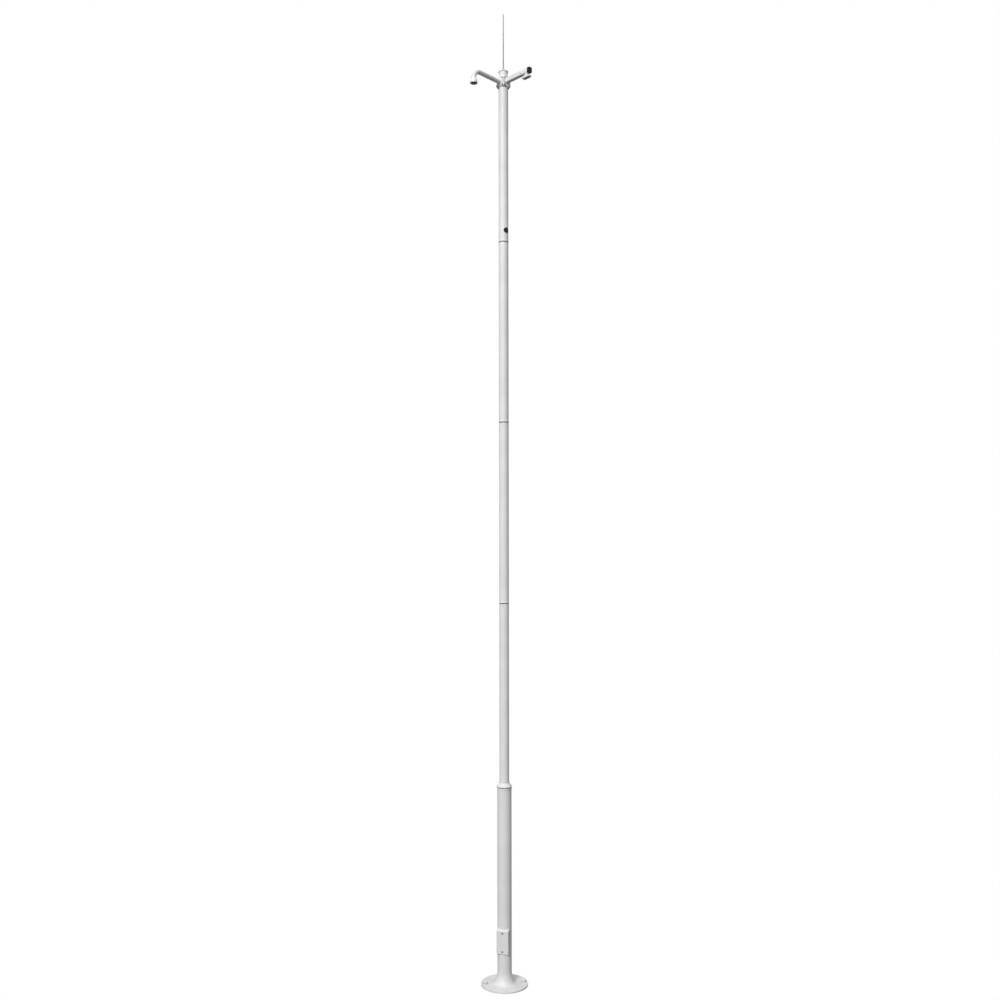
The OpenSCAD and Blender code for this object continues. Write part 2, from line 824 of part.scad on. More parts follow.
module lamp_window() {
    rim = lamp_rim + fit;
    color("grey")
        on_tilt()
            translate([lamp_x + lamp_l / 2, 0, lamp_top - lamp_h + edge])
                linear_extrude(lamp_window_t - edge)
                    round_rect(lamp_l - 2 * rim, lamp_w - 2 * rim, camera_r / 2);
}

base_casting();
lower_pole();
handhole_frame();
handhole_cover();
clamp_band();
reducer_collar();
pole_section(1);  // pole_section_1
pole_section(2);  // pole_section_2
pole_section(3);  // pole_section_3
pole_section(4);  // pole_section_4
joint_sleeve(1);  // joint_sleeve_1
joint_sleeve(2);  // joint_sleeve_2
joint_sleeve(3);  // joint_sleeve_3
outlet_rim();
outlet_grommet();
head_block();
cap_tube();
cap_lid();
rod_socket();
lightning_rod();
arm_flange(dome_turn, pipe_bore_r, dome_arm_z);  // dome_arm_flange
gooseneck_arm();
dome_bell();
dome_ring();
dome_window();
arm_flange(camera_turn, arm_cable_r, camera_arm_z);  // camera_arm_flange
camera_arm();
arm_end_plate();
tilt_bolt();
camera_knuckle();
camera_body();
camera_front_frame();
camera_hood();
camera_glass();
lamp_bracket();
lamp_body();
lamp_window();
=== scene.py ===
"""Looks of a white steel camera mast: finishes, welds, bolts, lenses and the studio around it."""

import json
import logging
import math
from dataclasses import dataclass, field
from enum import Enum, StrEnum
from typing import Callable, Iterable, Sequence

import bpy
from mathutils import Matrix, Vector


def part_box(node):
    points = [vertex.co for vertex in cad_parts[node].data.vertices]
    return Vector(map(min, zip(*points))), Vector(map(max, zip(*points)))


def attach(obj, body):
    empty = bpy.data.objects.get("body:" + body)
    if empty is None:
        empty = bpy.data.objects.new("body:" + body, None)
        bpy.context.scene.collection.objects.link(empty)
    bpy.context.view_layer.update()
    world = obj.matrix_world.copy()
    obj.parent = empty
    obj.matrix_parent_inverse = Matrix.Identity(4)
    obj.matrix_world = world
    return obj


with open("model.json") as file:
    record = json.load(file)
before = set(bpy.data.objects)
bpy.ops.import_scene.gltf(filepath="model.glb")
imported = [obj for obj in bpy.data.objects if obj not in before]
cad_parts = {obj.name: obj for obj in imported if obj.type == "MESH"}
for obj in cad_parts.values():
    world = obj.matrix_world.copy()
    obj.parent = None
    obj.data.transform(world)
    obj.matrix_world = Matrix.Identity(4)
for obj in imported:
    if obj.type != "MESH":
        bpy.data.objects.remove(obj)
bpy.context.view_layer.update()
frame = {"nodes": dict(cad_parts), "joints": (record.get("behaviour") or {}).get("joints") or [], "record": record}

log = logging.getLogger("camera_mast")

MM = 0.001
UP = Vector((0, 0, 1))

Point = tuple[float, float, float]
Profile = Sequence[tuple[float, float]]
Socket = bpy.types.NodeSocket


class Body(StrEnum):
    """Bodies of the model, which the pieces ride on."""

    MAST = "mast"
    CAMERA = "camera"


class Slot(StrEnum):
    """Material slots of the record."""

    MAST_PAINT = "mast_paint"
    CAST_PAINT = "cast_paint"
    CAMERA_METAL = "camera_metal"
    CAMERA_SHELL = "camera_shell"
    ZINC_STEEL = "zinc_steel"
    BOLT_STEEL = "bolt_steel"
    BLACK_RUBBER = "black_rubber"
    BLACK_PLASTIC = "black_plastic"
    SMOKED_DOME = "smoked_dome"
    FRONT_GLASS = "front_glass"
    LAMP_PANEL = "lamp_panel"


class Axis(StrEnum):
    """Axes that a finish or a light changes along."""

    X = "X"
    Z = "Z"


class Operation(StrEnum):
    """Math operations on shader values."""

    ADD = "ADD"
    MULTIPLY = "MULTIPLY"
    MAXIMUM = "MAXIMUM"


# --- Places: frames on the mast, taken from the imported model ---


def place(origin: Vector, out: Vector, up: Vector = UP) -> Matrix:
    """Frame with its Z axis along a direction.

    Args:
        origin: Point that becomes the frame's origin.
        out: Direction of the frame's Z axis.
        up: Direction that the frame's Y axis leans towards.

    Returns:
        The 4x4 matrix that carries the frame's coordinates into the row frame.
    """
    z_axis = out.normalized()
    x_axis = up.cross(z_axis)
    if x_axis.length < 1e-6:
        x_axis = Vector((1, 0, 0))
    x_axis.normalize()
    y_axis = z_axis.cross(x_axis)
    turned = Matrix((x_axis, y_axis, z_axis)).transposed().to_4x4()
    return Matrix.Translation(origin) @ turned


def lifted(height: float) -> Matrix:
    """Step up along a frame's Z axis, which from the origin is the mast's axis."""
    return Matrix.Translation((0, 0, height))


def heading(angle: float) -> Vector:
    """Level direction at an angle in radians from +X."""
    return Vector((math.cos(angle), math.sin(angle), 0.0))


def reach(node: str, direction: Vector) -> tuple[float, float]:
    """Lowest and highest place of a node's mesh along a direction.

    Args:
        node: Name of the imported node.
        direction: Unit direction in the row frame.

    Returns:
        The two distances from the origin, in metres.
    """
    along = [v.co.dot(direction) for v in frame["nodes"][node].data.vertices]
    return min(along), max(along)


def middle(node: str) -> Vector:
    """Middle of a node's box."""
    low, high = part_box(node)
    return (low + high) / 2


def outward(node: str) -> Vector:
    """Level direction from the mast's axis to the middle of a node."""
    centre = middle(node)
    return Vector((centre.x, centre.y, 0)).normalized()


# --- Shapes ---


@dataclass
class Shape:
    """A mesh in the making.

    Attributes:
        vertices: Points in the row frame, in metres.
        faces: Loops of vertex numbers.
    """

    vertices: list[Point] = field(default_factory=list)
    faces: list[list[int]] = field(default_factory=list)

    def add(self, points: Iterable[Vector], faces: Iterable[Sequence[int]], where: Matrix) -> None:
        """Adds a piece of mesh.

        Args:
            points: Its points in the frame of ``where``.
            faces: Its loops, counted from its own first point.
            where: Frame that the points are given in.
        """
        first = len(self.vertices)
        self.vertices.extend(tuple(where @ Vector(p)) for p in points)
        self.faces.extend([first + i for i in loop] for loop in faces)

    def revolve(self, profile: Profile, where: Matrix, segments: int = 48) -> None:
        """Adds a body of revolution about the frame's Z axis.

        Args:
            profile: Pairs of radius and height; an end at radius 0 closes the body.
            where: Frame of the axis.
            segments: Number of steps round the axis.
        """
        points: list[Point] = []
        rings: list[list[int]] = []
        for radius, height in profile:
            first = len(points)
            if radius < 1e-7:
                points.append((0.0, 0.0, height))
                rings.append([first] * segments)
                continue
            for i in range(segments):
                turn = 2 * math.pi * i / segments
                points.append((radius * math.cos(turn), radius * math.sin(turn), height))
            rings.append(list(range(first, first + segments)))
        faces: list[list[int]] = []
        for lower, upper in zip(rings, rings[1:]):
            for i in range(segments):
                j = (i + 1) % segments
                loop = [lower[i], lower[j], upper[j], upper[i]]
                faces.append(list(dict.fromkeys(loop)))
        self.add(points, [loop for loop in faces if len(loop) > 2], where)

    def prism(self, outline: Profile, height: float, bevel: float, where: Matrix) -> None:
        """Adds an upright prism with a bevelled top edge, open below.

        Args:
            outline: Its corner points, counted round.
            height: Its height.
            bevel: How far the top face stays inside the outline, and how deep its bevel is.
            where: Frame of its foot.
        """
        shrink = 1 - bevel / max(math.hypot(x, y) for x, y in outline)
        count = len(outline)
        points = [(x, y, 0.0) for x, y in outline]
        points += [(x, y, height - bevel) for x, y in outline]
        points += [(x * shrink, y * shrink, height) for x, y in outline]
        faces = [
            [ring * count + i, ring * count + (i + 1) % count,
             (ring + 1) * count + (i + 1) % count, (ring + 1) * count + i]
            for ring in range(2) for i in range(count)
        ]
        faces += [list(range(2 * count, 3 * count)), list(range(count - 1, -1, -1))]
        self.add(points, faces, where)

    def bead(self, path: Sequence[Vector], radius: float, ripple: float, where: Matrix,
             sides: int = 8) -> None:
        """Adds a closed weld bead along a path.

        Args:
            path: Points of its closed centre line, in the frame.
            radius: Radius of the bead.
            ripple: Share of the radius by which the bead swells and sinks.
            where: Frame of the path.
            sides: Number of sides of the bead's section.
        """
        points: list[Vector] = []
        count = len(path)
        for i, centre in enumerate(path):
            ahead = (path[(i + 1) % count] - path[i - 1]).normalized()
            side = ahead.cross(UP).normalized()
            lift = side.cross(ahead)
            swell = radius * (1 + ripple * (i % 2))
            for k in range(sides):
                turn = 2 * math.pi * k / sides
                points.append(centre + side * swell * math.cos(turn)
                              + lift * swell * math.sin(turn))
        faces = [
            [i * sides + k, i * sides + (k + 1) % sides,
             (i + 1) % count * sides + (k + 1) % sides, (i + 1) % count * sides + k]
            for i in range(count) for k in range(sides)
        ]
        self.add(points, faces, where)

    def piece(self, name: str, finish: "Finish", body: Body, slot: Slot) -> bpy.types.Object:
        """Makes the object, smooths it and lets it ride on a body.

        Args:
            name: Name of the piece.
            finish: Its finish.
            body: Body that it moves with.
            slot: Material slot of the record; not used.

        Returns:
            The new object.
        """
        mesh = bpy.data.meshes.new(name)
        mesh.from_pydata(self.vertices, [], self.faces)
        mesh.validate()
        made = bpy.data.objects.new(name, mesh)
        bpy.context.scene.collection.objects.link(made)
        made.data.materials.append(finish.material())
        smooth(made)
        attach(made, body)
        log.info("%s: %d faces, on %s", name, len(mesh.polygons), body)
        return made


def smooth(made: bpy.types.Object, crease: float = 32.0) -> None:
    """Shades an object smooth and keeps its sharp edges.

    Args:
        made: Object with a mesh.
        crease: Angle in degrees above which an edge stays sharp.
    """
    for polygon in made.data.polygons:
        polygon.use_smooth = True
    made.data.set_sharp_from_angle(angle=math.radians(crease))


def ring_path(radius: float, steps: int) -> list[Vector]:
    """Points of a level circle."""
    return [heading(2 * math.pi * i / steps) * radius for i in range(steps)]


def box_path(width: float, height: float, step: float) -> list[Vector]:
    """Points along a rectangle's outline.

    Args:
        width: Size along X.
        height: Size along Y.
        step: Largest distance between neighbouring points.

    Returns:
        The points, counted round.
    """
    corners = [Vector((sx * width / 2, sy * height / 2, 0)) for sx, sy in
               ((1, 1), (-1, 1), (-1, -1), (1, -1))]
    points: list[Vector] = []
    for start, end in zip(corners, corners[1:] + corners[:1]):
        count = max(1, round((end - start).length / step))
        points += [start.lerp(end, i / count) for i in range(count)]
    return points


def circle_outline(radius: float, steps: int) -> list[tuple[float, float]]:
    """Points of a circle, counted round."""
    return [(radius * math.cos(2 * math.pi * i / steps), radius * math.sin(2 * math.pi * i / steps))
            for i in range(steps)]


def polygon_outline(across_flats: float, corners: int = 6) -> list[tuple[float, float]]:
    """Corner points of a regular polygon with a given width across its flats."""
    return circle_outline(across_flats / 2 / math.cos(math.pi / corners), corners)


# --- Finishes ---


class Pattern(Enum):
    """How a finish's fine grain is laid out: its cells to a unit along X, Y and Z."""

    EVEN = (1.0, 1.0, 1.0)
    DRAWN = (1.0, 1.0, 0.03)
    TURNED = (0.05, 0.05, 1.0)


RAIN_PER_M = (55.0, 55.0, 0.9)  # narrow and tall streaks, along X, Y and Z
DARKENING_TOP = 0.55  # height up to which finishes darken towards the ground, in metres
SPECKS_PER_M = 60.0
COAT_ROUGHNESS = 0.12
GRAIN_STRENGTH = 0.6


@dataclass(frozen=True)
class Finish:
    """One surface finish, with a slow tone change, darkening near the ground, streaks and a fine grain.

    Attributes:
        name: Name of the material.
        colour: Main colour, linear.
        shade: Colour that the main one drifts to, linear.
        roughness: Lowest and highest roughness.
        grain_per_m: Number of grain cells in a metre.
        grain_depth: Depth of the grain in metres.
        drift_per_m: Number of slow tone changes in a metre.
        streak: Share of the shade colour in the vertical rain streaks.
        ground_darkening: Share of the shade colour in the specks that darken it near the ground.
        metallic: How metallic the surface is.
        coat: Weight of the clear coat.
        pattern: Layout of the grain.
    """

    name: str
    colour: Point
    shade: Point
    roughness: tuple[float, float]
    grain_per_m: float
    grain_depth: float
    drift_per_m: float = 4.0
    streak: float = 0.0
    ground_darkening: float = 0.0
    metallic: float = 0.0
    coat: float = 0.0
    pattern: Pattern = Pattern.EVEN

    @property
    def title(self) -> str:
        """Name of the Blender material, which no packed material has."""
        return f"{self.name}_finish"

    def material(self) -> bpy.types.Material:
        """The Blender material, made once."""
        found = bpy.data.materials.get(self.title)
        return found or self._build()

    def _build(self) -> bpy.types.Material:
        """Builds the material's nodes.

        Returns:
            The new material.
        """
        made = bpy.data.materials.new(self.title)
        made.use_nodes = True
        shader = made.node_tree.nodes["Principled BSDF"]
        shader.inputs["Metallic"].default_value = self.metallic
        shader.inputs["Coat Weight"].default_value = self.coat
        shader.inputs["Coat Roughness"].default_value = COAT_ROUGHNESS
        graph = Graph(made.node_tree)
        where = graph.coordinates()
        drift = graph.noise(where, self.drift_per_m, detail=3.0)
        amount = graph.ramp(drift, low=0.35, high=0.72, first=0.0, last=0.55)
        if self.streak:
            rain = graph.noise(graph.stretch(where, RAIN_PER_M), 1.0, detail=4.0)
            streaks = graph.ramp(rain, low=0.5, high=0.78, first=0.0, last=self.streak)
            amount = graph.math(Operation.ADD, amount, streaks)
        # Darker towards the ground, in specks.
        if self.ground_darkening:
            height = graph.axis(where, Axis.Z)
            low = graph.ramp(height, low=0.0, high=DARKENING_TOP, first=self.ground_darkening, last=0.0)
            speck = graph.noise(where, SPECKS_PER_M, detail=5.0)
            amount = graph.math(Operation.ADD, amount, graph.math(Operation.MULTIPLY, low, speck))
        graph.link(graph.blend(amount, self.colour, self.shade), shader.inputs["Base Color"])
        grain = graph.noise(graph.stretch(where, self.pattern.value), self.grain_per_m, detail=2.0)
        wear = graph.noise(where, self.drift_per_m * 9, detail=4.0)
        smoothest, roughest = self.roughness
        rough = graph.ramp(wear, low=0.3, high=0.7, first=smoothest, last=roughest)
        graph.link(rough, shader.inputs["Roughness"])
        graph.link(graph.bump(grain, self.grain_depth), shader.inputs["Normal"])
        return made


class Graph:
    """Short words for the shader nodes that the finishes and the studio share."""

    def __init__(self, tree: bpy.types.NodeTree) -> None:
        """Keeps the node tree to add to."""
        self.tree = tree

    def node(self, kind: str) -> bpy.types.Node:
        """A new node of that kind."""
        return self.tree.nodes.new(f"ShaderNode{kind}")

    def link(self, source: Socket, target: Socket) -> None:
        """Feeds one socket into another."""
        self.tree.links.new(source, target)

    def coordinates(self) -> Socket:
        """Coordinates that stay on the piece as it moves."""
        return self.node("TexCoord").outputs["Object"]

    def stretch(self, where: Socket, scale: Point) -> Socket:
        """Scales each axis of the coordinates by its own factor.

        Args:
            where: Coordinates to scale.
            scale: Factors along X, Y and Z.

        Returns:
            The scaled coordinates.
        """
        node = self.node("Mapping")
        node.inputs["Scale"].default_value = scale
        self.link(where, node.inputs["Vector"])
        return node.outputs["Vector"]

    def axis(self, where: Socket, name: Axis) -> Socket:
        """Picks one coordinate.

        Args:
            where: Coordinates to pick from.
            name: Axis of the coordinate.

        Returns:
            The value along that axis.
        """
        node = self.node("SeparateXYZ")
        self.link(where, node.inputs["Vector"])
        return node.outputs[name]

    def noise(self, where: Socket, scale: float, detail: float) -> Socket:
        """Smooth noise from 0 to 1.

        Args:
            where: Coordinates that the noise follows.
            scale: Number of its cells in a unit.
            detail: Number of finer layers.

        Returns:
            The noise.
        """
        node = self.node("TexNoise")
        node.inputs["Scale"].default_value = scale
        node.inputs["Detail"].default_value = detail
        self.link(where, node.inputs["Vector"])
        return node.outputs["Fac"]

    def ramp(self, value: Socket, low: float, high: float, first: float, last: float) -> Socket:
        """A value mapped from one range onto another, and kept inside it.

        Args:
            value: The value to map.
            low: Value that gives ``first``.
            high: Value that gives ``last``.
            first: Result at ``low``.
            last: Result at ``high``.

        Returns:
            The mapped value.
        """
        node = self.node("MapRange")
        for name, number in (("From Min", low), ("From Max", high),
                             ("To Min", first), ("To Max", last)):
            node.inputs[name].default_value = number
        self.link(value, node.inputs["Value"])
        return node.outputs["Result"]

    def math(self, operation: Operation, *values: Socket | float) -> Socket:
        """Works out an operation on two values.

        Args:
            operation: The operation.
            values: The two values, as sockets or as numbers.

        Returns:
            The result.
        """
        node = self.node("Math")
        node.operation = operation
        for socket, value in zip(node.inputs, values):
            if isinstance(value, Socket):
                self.link(value, socket)
            else:
                socket.default_value = value
        return node.outputs["Value"]

    def blend(self, amount: Socket, first: Point, last: Point) -> Socket:
        """Colour between two others.

        Args:
            amount: Share of the second colour.
            first: Colour at 0.
            last: Colour at 1.

        Returns:
            The blended colour.
        """
        node = self.node("Mix")
        node.data_type = "RGBA"
        node.inputs["A"].default_value = (*first, 1.0)
        node.inputs["B"].default_value = (*last, 1.0)
        self.link(amount, node.inputs["Factor"])
        return node.outputs["Result"]

    def mix(self, amount: Socket, first: Socket, last: Socket) -> Socket:
        """Shader between two others.

        Args:
            amount: Share of the second shader.
            first: Shader at 0.
            last: Shader at 1.

        Returns:
            The mixed shader.
        """
        node = self.node("MixShader")
        for source, target in zip((amount, first, last), node.inputs):
            self.link(source, target)
        return node.outputs[0]

    def direct_rays(self) -> Socket:
        """1 for what the camera sees directly or through glass."""
        rays = self.node("LightPath").outputs
        return self.math(Operation.MAXIMUM, rays["Is Camera Ray"], rays["Is Transmission Ray"])

    def bump(self, height: Socket, depth: float) -> Socket:
        """Normal of a finely grained surface.

        Args:
            height: Height of the grain from 0 to 1.
            depth: Depth of the grain in metres.

        Returns:
            The normal.
        """
        node = self.node("Bump")
        node.inputs["Strength"].default_value = GRAIN_STRENGTH
        node.inputs["Distance"].default_value = depth
        self.link(height, node.inputs["Height"])
        return node.outputs["Normal"]


MAST_PAINT = Finish("mast_paint", (0.80, 0.805, 0.81), (0.68, 0.68, 0.67), (0.44, 0.58), 700.0,
                    0.00004, streak=0.2, ground_darkening=1.4)
CAST_PAINT = Finish("cast_paint", (0.78, 0.785, 0.79), (0.65, 0.65, 0.64), (0.48, 0.62), 260.0,
                    0.00012, drift_per_m=9.0, streak=0.12, ground_darkening=0.4)
WELD_PAINT = Finish("weld_paint", (0.74, 0.745, 0.75), (0.58, 0.58, 0.57), (0.4, 0.55), 500.0,
                    0.0001, drift_per_m=40.0)
CAMERA_PAINT = Finish("camera_paint", (0.85, 0.85, 0.85), (0.74, 0.74, 0.735), (0.3, 0.42), 1400.0,
                      0.00003, drift_per_m=14.0, streak=0.1, coat=0.2)
WHITE_SHELL = Finish("white_shell", (0.87, 0.87, 0.865), (0.78, 0.78, 0.77), (0.22, 0.32), 2600.0,
                     0.00001, drift_per_m=12.0, streak=0.08, coat=0.35)
BRIGHT_ZINC = Finish("bright_zinc", (0.64, 0.65, 0.66), (0.48, 0.48, 0.48), (0.34, 0.48), 260.0,
                     0.00006, drift_per_m=60.0, metallic=0.3)
ZINC = Finish("zinc", (0.34, 0.345, 0.35), (0.25, 0.255, 0.26), (0.42, 0.58), 340.0, 0.00005,
              drift_per_m=30.0, metallic=0.4, pattern=Pattern.DRAWN)
BOLT_STEEL = Finish("bolt_steel", (0.36, 0.365, 0.37), (0.24, 0.24, 0.24), (0.34, 0.48), 900.0,
                    0.00003, drift_per_m=120.0, metallic=0.45, pattern=Pattern.TURNED)
BRIGHT_STEEL = Finish("bright_steel", (0.9, 0.9, 0.9), (0.74, 0.74, 0.74), (0.32, 0.46), 900.0,
                      0.00003, drift_per_m=120.0, metallic=0.2, pattern=Pattern.TURNED)
DARK_STEEL = Finish("dark_steel", (0.045, 0.045, 0.047), (0.09, 0.075, 0.06), (0.45, 0.62), 700.0,
                    0.00005, drift_per_m=90.0, metallic=0.5)
# Dark grey of the rings that paint the shade in the joints' grooves and under the reducer's skirt.
GROOVE_SHADE = Finish("groove_shade", (0.18, 0.18, 0.182), (0.25, 0.25, 0.248), (0.6, 0.8), 600.0, 0.0001,
                 drift_per_m=30.0)
RUBBER = Finish("rubber", (0.012, 0.012, 0.012), (0.035, 0.035, 0.034), (0.6, 0.8), 900.0, 0.00006,
                drift_per_m=60.0)
BLACK_PLASTIC = Finish("black_plastic", (0.008, 0.008, 0.009), (0.02, 0.02, 0.02), (0.38, 0.55),
                       1800.0, 0.00003, drift_per_m=40.0)
SMOKED_DOME = Finish("smoked_dome", (0.014, 0.014, 0.017), (0.028, 0.028, 0.031), (0.04, 0.09),
                     300.0, 0.00002, drift_per_m=25.0, coat=0.8)
DARK_GLASS = Finish("dark_glass", (0.006, 0.007, 0.012), (0.014, 0.014, 0.02), (0.03, 0.08), 300.0,
                    0.00002, drift_per_m=50.0, coat=0.8)
LENS_COATING = Finish("lens_coating", (0.02, 0.012, 0.045), (0.01, 0.03, 0.05), (0.03, 0.06), 200.0,
                      0.00002, drift_per_m=80.0, coat=1.0)
LAMP_PANEL = Finish("lamp_panel", (0.24, 0.245, 0.25), (0.15, 0.15, 0.155), (0.12, 0.22), 1500.0,
                    0.00006, drift_per_m=50.0, coat=0.5)
LAMP_LENS = Finish("lamp_lens", (0.66, 0.67, 0.62), (0.46, 0.47, 0.42), (0.08, 0.16), 1500.0,
                   0.00004, drift_per_m=200.0, coat=0.6)

FINISH_OF_SLOT: dict[str, Finish] = {
    Slot.MAST_PAINT: MAST_PAINT,
    Slot.CAST_PAINT: CAST_PAINT,
    Slot.CAMERA_METAL: CAMERA_PAINT,
    Slot.CAMERA_SHELL: WHITE_SHELL,
    Slot.ZINC_STEEL: ZINC,
    Slot.BOLT_STEEL: BRIGHT_STEEL,
    Slot.BLACK_RUBBER: RUBBER,
    Slot.BLACK_PLASTIC: BLACK_PLASTIC,
    Slot.SMOKED_DOME: SMOKED_DOME,
    Slot.FRONT_GLASS: DARK_GLASS,
    Slot.LAMP_PANEL: LAMP_PANEL,
}


# --- Fasteners ---


@dataclass(frozen=True)
class HexBolt:
    """A hexagon head on a washer.

    Attributes:
        across: Width of the head across its flats.
        head: Height of the head.
        washer: Diameter of the washer.
        washer_t: Thickness of the washer.
    """

    across: float = 13 * MM
    head: float = 5.3 * MM
    washer: float = 17 * MM
    washer_t: float = 1.6 * MM

    def add_to(self, shape: Shape, where: Matrix) -> None:
        """Adds the bolt to a shape.

        Args:
            shape: Shape that takes the bolt.
            where: Frame that the bolt stands in, along Z.
        """
        edge, bevel = 0.3 * MM, 0.09 * self.across
        rim = self.washer / 2
        shape.revolve([(0, 0), (rim, 0), (rim, self.washer_t - edge), (rim - edge, self.washer_t),
                       (0, self.washer_t)], where, segments=32)
        on_washer = where @ lifted(self.washer_t)
        shape.prism(polygon_outline(self.across), self.head, bevel, on_washer)


@dataclass(frozen=True)
class SocketScrew:
    """A round screw head with a hexagon socket.

    Attributes:
        head: Diameter of the head.
        height: Height of the head.
        socket: Width of the socket across its flats.
    """

    head: float
    height: float
    socket: float

    def add_to(self, shape: Shape, where: Matrix) -> None:
        """Adds the screw to a shape.

        Args:
            shape: Shape that takes the screw.
            where: Frame that the screw stands in, along Z.
        """
        corners = 6
        segments = 36
        rim = self.head / 2
        edge = 0.12 * self.height
        bottom = 0.35 * self.height
        shape.revolve([(rim, 0), (rim, self.height - edge), (rim - edge, self.height)],
                      where, segments)
        hexagon = polygon_outline(self.socket, corners)
        top = [(x, y, self.height) for x, y in circle_outline(rim - edge, segments)]
        upper = [(x, y, self.height) for x, y in hexagon]
        lower = [(x, y, bottom) for x, y in hexagon]
        share = segments // corners
        faces = []
        for c in range(corners):
            after = (c + 1) % corners
            outer = [(c * share + k) % segments for k in range(share + 1)]
            faces.append(outer + [segments + after, segments + c])
            faces.append([segments + c, segments + after, segments + corners + after,
                          segments + corners + c])
        faces.append([segments + corners + c for c in range(corners)])
        shape.add([*top, *upper, *lower], faces, where)


# --- Sub-assemblies ---


@dataclass
class SteelWork:
    """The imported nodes, which keep their shape and get their finish.

    Attributes:
        edge: Width of the bevel that catches light on their edges.
        crease: Angle in degrees above which an edge is sharp.
    """

    edge: float = 0.8 * MM
    crease: float = 32.0

    def dress(self) -> None:
        """Gives each node its finish, a fine bevel and smooth shading."""
        for part in frame["record"]["subparts"]:
            node = frame["nodes"][part["node"]]
            node.data.materials.clear()
            node.data.materials.append(FINISH_OF_SLOT[part["material_slot"]].material())
            smooth(node, self.crease)
            rounding = node.modifiers.new("fine_edge", "BEVEL")
            rounding.width = self.edge
            rounding.segments = 2
            rounding.limit_method = "ANGLE"
            rounding.angle_limit = math.radians(self.crease)
            rounding.harden_normals = True
            log.info("%s: finish %s", part["node"], part["material_slot"])


@dataclass
class Foot:
    """Weld between the foot and the lower pole, and the nuts on the anchor bolts.

    Attributes:
        bead: Radius of the weld bead.
        nut: Nut and washer of an anchor bolt.
        stud: Diameter of the anchor bolt's end.
        stud_out: How far that end stands out of the nut.
        stud_edge: Bevel of that end.
    """

    bead: float = 3 * MM
    nut: HexBolt = HexBolt(across=41 * MM, head=12 * MM, washer=56 * MM, washer_t=4 * MM)
    stud: float = 24 * MM
    stud_out: float = 14 * MM
    stud_edge: float = 2 * MM

    def build(self) -> None:
        """Adds the weld ring on top of the boss, the nuts and the bolts' ends."""
        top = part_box("base_casting")[1].z
        radius = reach("lower_pole", Vector((1, 0, 0)))[1]
        ring = Shape()
        ring.bead(ring_path(radius + self.bead / 3, steps=200), self.bead, ripple=0.12,
                  where=lifted(top))
        ring.piece("foot_weld", WELD_PAINT, Body.MAST, Slot.CAST_PAINT)
        nuts, studs = Shape(), Shape()
        for where in self._anchors():
            self.nut.add_to(nuts, where)
            on_nut = where @ lifted(self.nut.washer_t + self.nut.head)
            rim, edge = self.stud / 2, self.stud_edge
            studs.revolve([(rim, -edge), (rim, self.stud_out - edge), (rim - edge, self.stud_out),
                           (0, self.stud_out)], on_nut, segments=32)
        nuts.piece("anchor_nuts", BRIGHT_ZINC, Body.MAST, Slot.ZINC_STEEL)
        studs.piece("anchor_studs", BRIGHT_STEEL, Body.MAST, Slot.BOLT_STEEL)

    @staticmethod
    def _anchors() -> list[Matrix]:
        """Frames of the anchor holes, on the flange's top.

        Returns:
            One upright frame for each hole, with its origin on the flange's face.
        """
        pattern = next(m for m in frame["record"]["mounts"] if m["name"] == "anchor_bolts")
        radius = pattern["dims"]["pcd_mm"] / 2 * MM
        hole_r = pattern["dims"]["hole_r_mm"] * MM
        slack = 0.1 * MM
        inside = [v.co for v in frame["nodes"]["base_casting"].data.vertices
                  if abs(math.hypot(v.co.x, v.co.y) - radius) < hole_r * 1.02]
        top = max(co.z for co in inside)
        rims = [co for co in inside if co.x > 0 and abs(co.z - top) < slack]
        first = math.atan2(sum(co.y for co in rims), sum(co.x for co in rims))
        count = pattern["dims"]["count"]
        return [Matrix.Translation(heading(first + 2 * math.pi * i / count) * radius + UP * top)
                for i in range(count)]


@dataclass
class HandHole:
    """Screws of the hand-hole cover.

    Attributes:
        washer_d: Diameter of the washer in each countersink.
        washer_hole: Diameter of the washer's hole.
        washer_t: Thickness of the washer.
        edge: Bevel of the washer.
        screw: Screw of the cover.
        screw_in: Distance of a screw from the cover's end.
        pocket: Depth of the countersink.
    """

    washer_d: float = 21 * MM
    washer_hole: float = 10 * MM
    washer_t: float = 1.6 * MM
    edge: float = 0.4 * MM
    screw: SocketScrew = SocketScrew(head=13 * MM, height=3.6 * MM, socket=6 * MM)
    screw_in: float = 25 * MM
    pocket: float = 2.5 * MM

    def build(self) -> None:
        """Adds the washers and the screws."""
        out = outward("handhole_cover")
        face = reach("handhole_cover", out)[1]
        low, high = reach("handhole_cover", UP)
        rim, shoulder = self.washer_d / 2, self.washer_t - self.edge
        washers, screws = Shape(), Shape()
        for z in (low + self.screw_in, high - self.screw_in):
            where = place(out * (face - self.pocket) + UP * z, out)
            washers.revolve([(rim, 0), (rim, shoulder), (rim - self.edge, self.washer_t),
                             (self.washer_hole / 2, self.washer_t)], where, segments=36)
            self.screw.add_to(screws, where @ lifted(self.washer_t - self.edge / 2))
        washers.piece("cover_washers", ZINC, Body.MAST, Slot.BOLT_STEEL)
        screws.piece("cover_screws", BOLT_STEEL, Body.MAST, Slot.BOLT_STEEL)


